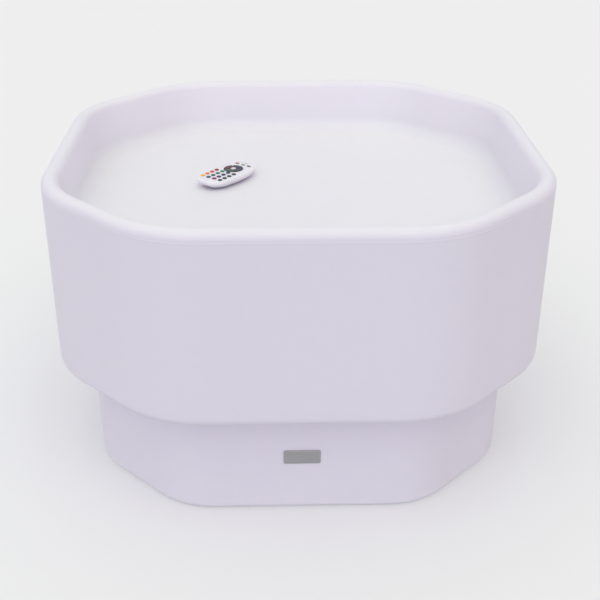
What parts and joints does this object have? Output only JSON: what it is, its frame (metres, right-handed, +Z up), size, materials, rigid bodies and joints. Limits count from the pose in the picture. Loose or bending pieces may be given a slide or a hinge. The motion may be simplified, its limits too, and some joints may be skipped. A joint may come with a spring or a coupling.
{
  "type": "sensory light table",
  "caption": "Hollow octagonal light table with a recessed play surface on a narrower base, lit from inside, with its hand remote lying in the recess.",
  "frame": {"origin": "on the floor under the middle of the table", "axes": "+Z up, front with the badge towards -Y, +X to the right"},
  "size_m": [0.6996, 0.6996, 0.44],
  "materials": {
    "badge_metal": "brushed",
    "brass": "machined",
    "button_plastic": "moulded",
    "cell_wrap": "shrink wrap",
    "circuit_board": "green solder mask",
    "clear_dome": "frosted clear plastic",
    "connector_plastic": "moulded nylon",
    "cover_rubber": "matte",
    "dark_parts": "moulded",
    "dial_green": "moulded",
    "dial_grey": "moulded",
    "dial_red": "moulded",
    "end_green": "moulded",
    "end_red": "moulded",
    "gasket_foam": "closed-cell foam",
    "inner_plastic": "moulded",
    "jack_plastic": "moulded",
    "key_amber": "moulded silicone-feel",
    "key_blue": "moulded silicone-feel",
    "key_deep_teal": "moulded silicone-feel",
    "key_green": "moulded silicone-feel",
    "key_magenta": "moulded silicone-feel",
    "key_orange": "moulded silicone-feel",
    "key_purple": "moulded silicone-feel",
    "key_red": "moulded silicone-feel",
    "key_sea_green": "moulded silicone-feel",
    "key_teal": "moulded silicone-feel",
    "key_violet": "moulded silicone-feel",
    "key_white": "moulded",
    "key_yellow": "moulded silicone-feel",
    "lead_jacket": "insulation",
    "lens_dark": "dark tinted",
    "lens_plastic": "clear tinted",
    "light_board": "white solder mask",
    "light_chip": "lens over phosphor",
    "mat_silicone": "silicone",
    "mode_grey": "moulded",
    "nickel": "nickel plated",
    "pad_rubber": "matte",
    "plate_plastic": "fine texture",
    "remote_plastic": "gloss moulded",
    "shell_plastic": "satin rotomoulded polyethylene, milky white",
    "spreader_metal": "mill finish",
    "steel": "zinc plated"
  },
  "bodies": {
    "table": {"badge_plate": "badge_metal", "battery_cells": "cell_wrap", "battery_clamp": "steel", "battery_cradle": "inner_plastic", "board_parts": "dark_parts", "button_body": "nickel", "button_nut": "nickel", "button_spring": "steel", "charge_jack": "jack_plastic", "control_board": "circuit_board", "cover_pivot": "steel", "diffuser_dome": "clear_dome", "foot_pads": "pad_rubber", "indicator_lens": "lens_plastic", "ir_receiver": "dark_parts", "jack_nut": "nickel", "led_board": "light_board", "led_chips": "light_chip", "led_spreader": "spreader_metal", "m3_screws": "steel", "plate_gasket": "gasket_foam", "plate_inserts": "brass", "plate_screws": "steel", "service_plate": "plate_plastic", "table_shell": "shell_plastic", "wire_connectors": "connector_plastic", "wire_leads": "lead_jacket"},
    "remote": {"remote_top_shell": "remote_plastic", "remote_bottom_shell": "remote_plastic", "remote_keymat": "mat_silicone", "remote_board": "circuit_board", "remote_emitter": "lens_dark"},
    "power_button": {"button_cap": "button_plastic"},
    "cover_swivel": {"socket_cover": "cover_rubber"},
    "battery_drawer": {"battery_tray": "remote_plastic", "coin_cell": "steel"},
    "dial_centre_cap": {"dial_centre": "key_white"},
    "dial_down_cap": {"dial_down": "dial_green"},
    "dial_left_cap": {"dial_left": "dial_red"},
    "dial_right_cap": {"dial_right": "dial_grey"},
    "dial_up_cap": {"dial_up": "dial_grey"},
    "key_amber_cap": {"key_amber": "key_amber"},
    "key_blue_cap": {"key_blue": "key_blue"},
    "key_deep_teal_cap": {"key_deep_teal": "key_deep_teal"},
    "key_fade_cap": {"key_fade": "mode_grey"},
    "key_flash_cap": {"key_flash": "mode_grey"},
    "key_green_cap": {"key_green": "key_green"},
    "key_magenta_cap": {"key_magenta": "key_magenta"},
    "key_off_cap": {"key_off": "end_red"},
    "key_on_cap": {"key_on": "end_green"},
    "key_orange_cap": {"key_orange": "key_orange"},
    "key_purple_cap": {"key_purple": "key_purple"},
    "key_red_cap": {"key_red": "key_red"},
    "key_sea_green_cap": {"key_sea_green": "key_sea_green"},
    "key_smooth_cap": {"key_smooth": "mode_grey"},
    "key_strobe_cap": {"key_strobe": "mode_grey"},
    "key_teal_cap": {"key_teal": "key_teal"},
    "key_timer_cap": {"key_timer": "mode_grey"},
    "key_violet_cap": {"key_violet": "key_violet"},
    "key_yellow_cap": {"key_yellow": "key_yellow"}
  },
  "joints": [
    {"name": "remote_lift", "type": "slide", "parent": "table", "child": "remote", "axis": [0, 0, 1], "range_m": [0, 0.12]},
    {"name": "battery_drawer_slide", "type": "slide", "parent": "remote", "child": "battery_drawer", "axis": [-0.6239, -0.7815, 0], "range_m": [0, 0.032]},
    {"name": "power_button_push", "type": "slide", "parent": "table", "child": "power_button", "axis": [0, 0, 1], "range_m": [0, 0.002], "stiffness_N_per_m": 400, "deforming": ["button_spring"]},
    {"name": "socket_cover_swivel", "type": "hinge", "parent": "table", "child": "cover_swivel", "pos_m": [0.038, -0.07, 0.021], "axis": [0, 0, -1], "range_deg": [0, 110]},
    {"name": "dial_centre_push", "type": "slide", "parent": "remote", "child": "dial_centre_cap", "axis": [0, 0, -1], "range_m": [0, 0.0007], "stiffness_N_per_m": 1250},
    {"name": "dial_down_push", "type": "slide", "parent": "remote", "child": "dial_down_cap", "axis": [0, 0, -1], "range_m": [0, 0.0007], "stiffness_N_per_m": 1250},
    {"name": "dial_left_push", "type": "slide", "parent": "remote", "child": "dial_left_cap", "axis": [0, 0, -1], "range_m": [0, 0.0007], "stiffness_N_per_m": 1250},
    {"name": "dial_right_push", "type": "slide", "parent": "remote", "child": "dial_right_cap", "axis": [0, 0, -1], "range_m": [0, 0.0007], "stiffness_N_per_m": 1250},
    {"name": "dial_up_push", "type": "slide", "parent": "remote", "child": "dial_up_cap", "axis": [0, 0, -1], "range_m": [0, 0.0007], "stiffness_N_per_m": 1250},
    {"name": "key_amber_push", "type": "slide", "parent": "remote", "child": "key_amber_cap", "axis": [0, 0, -1], "range_m": [0, 0.0007], "stiffness_N_per_m": 1250},
    {"name": "key_blue_push", "type": "slide", "parent": "remote", "child": "key_blue_cap", "axis": [0, 0, -1], "range_m": [0, 0.0007], "stiffness_N_per_m": 1250},
    {"name": "key_deep_teal_push", "type": "slide", "parent": "remote", "child": "key_deep_teal_cap", "axis": [0, 0, -1], "range_m": [0, 0.0007], "stiffness_N_per_m": 1250},
    {"name": "key_fade_push", "type": "slide", "parent": "remote", "child": "key_fade_cap", "axis": [0, 0, -1], "range_m": [0, 0.0007], "stiffness_N_per_m": 1250},
    {"name": "key_flash_push", "type": "slide", "parent": "remote", "child": "key_flash_cap", "axis": [0, 0, -1], "range_m": [0, 0.0007], "stiffness_N_per_m": 1250},
    {"name": "key_green_push", "type": "slide", "parent": "remote", "child": "key_green_cap", "axis": [0, 0, -1], "range_m": [0, 0.0007], "stiffness_N_per_m": 1250},
    {"name": "key_magenta_push", "type": "slide", "parent": "remote", "child": "key_magenta_cap", "axis": [0, 0, -1], "range_m": [0, 0.0007], "stiffness_N_per_m": 1250},
    {"name": "key_off_push", "type": "slide", "parent": "remote", "child": "key_off_cap", "axis": [0, 0, -1], "range_m": [0, 0.0007], "stiffness_N_per_m": 1250},
    {"name": "key_on_push", "type": "slide", "parent": "remote", "child": "key_on_cap", "axis": [0, 0, -1], "range_m": [0, 0.0007], "stiffness_N_per_m": 1250},
    {"name": "key_orange_push", "type": "slide", "parent": "remote", "child": "key_orange_cap", "axis": [0, 0, -1], "range_m": [0, 0.0007], "stiffness_N_per_m": 1250},
    {"name": "key_purple_push", "type": "slide", "parent": "remote", "child": "key_purple_cap", "axis": [0, 0, -1], "range_m": [0, 0.0007], "stiffness_N_per_m": 1250},
    {"name": "key_red_push", "type": "slide", "parent": "remote", "child": "key_red_cap", "axis": [0, 0, -1], "range_m": [0, 0.0007], "stiffness_N_per_m": 1250},
    {"name": "key_sea_green_push", "type": "slide", "parent": "remote", "child": "key_sea_green_cap", "axis": [0, 0, -1], "range_m": [0, 0.0007], "stiffness_N_per_m": 1250},
    {"name": "key_smooth_push", "type": "slide", "parent": "remote", "child": "key_smooth_cap", "axis": [0, 0, -1], "range_m": [0, 0.0007], "stiffness_N_per_m": 1250},
    {"name": "key_strobe_push", "type": "slide", "parent": "remote", "child": "key_strobe_cap", "axis": [0, 0, -1], "range_m": [0, 0.0007], "stiffness_N_per_m": 1250},
    {"name": "key_teal_push", "type": "slide", "parent": "remote", "child": "key_teal_cap", "axis": [0, 0, -1], "range_m": [0, 0.0007], "stiffness_N_per_m": 1250},
    {"name": "key_timer_push", "type": "slide", "parent": "remote", "child": "key_timer_cap", "axis": [0, 0, -1], "range_m": [0, 0.0007], "stiffness_N_per_m": 1250},
    {"name": "key_violet_push", "type": "slide", "parent": "remote", "child": "key_violet_cap", "axis": [0, 0, -1], "range_m": [0, 0.0007], "stiffness_N_per_m": 1250},
    {"name": "key_yellow_push", "type": "slide", "parent": "remote", "child": "key_yellow_cap", "axis": [0, 0, -1], "range_m": [0, 0.0007], "stiffness_N_per_m": 1250}
  ]
}
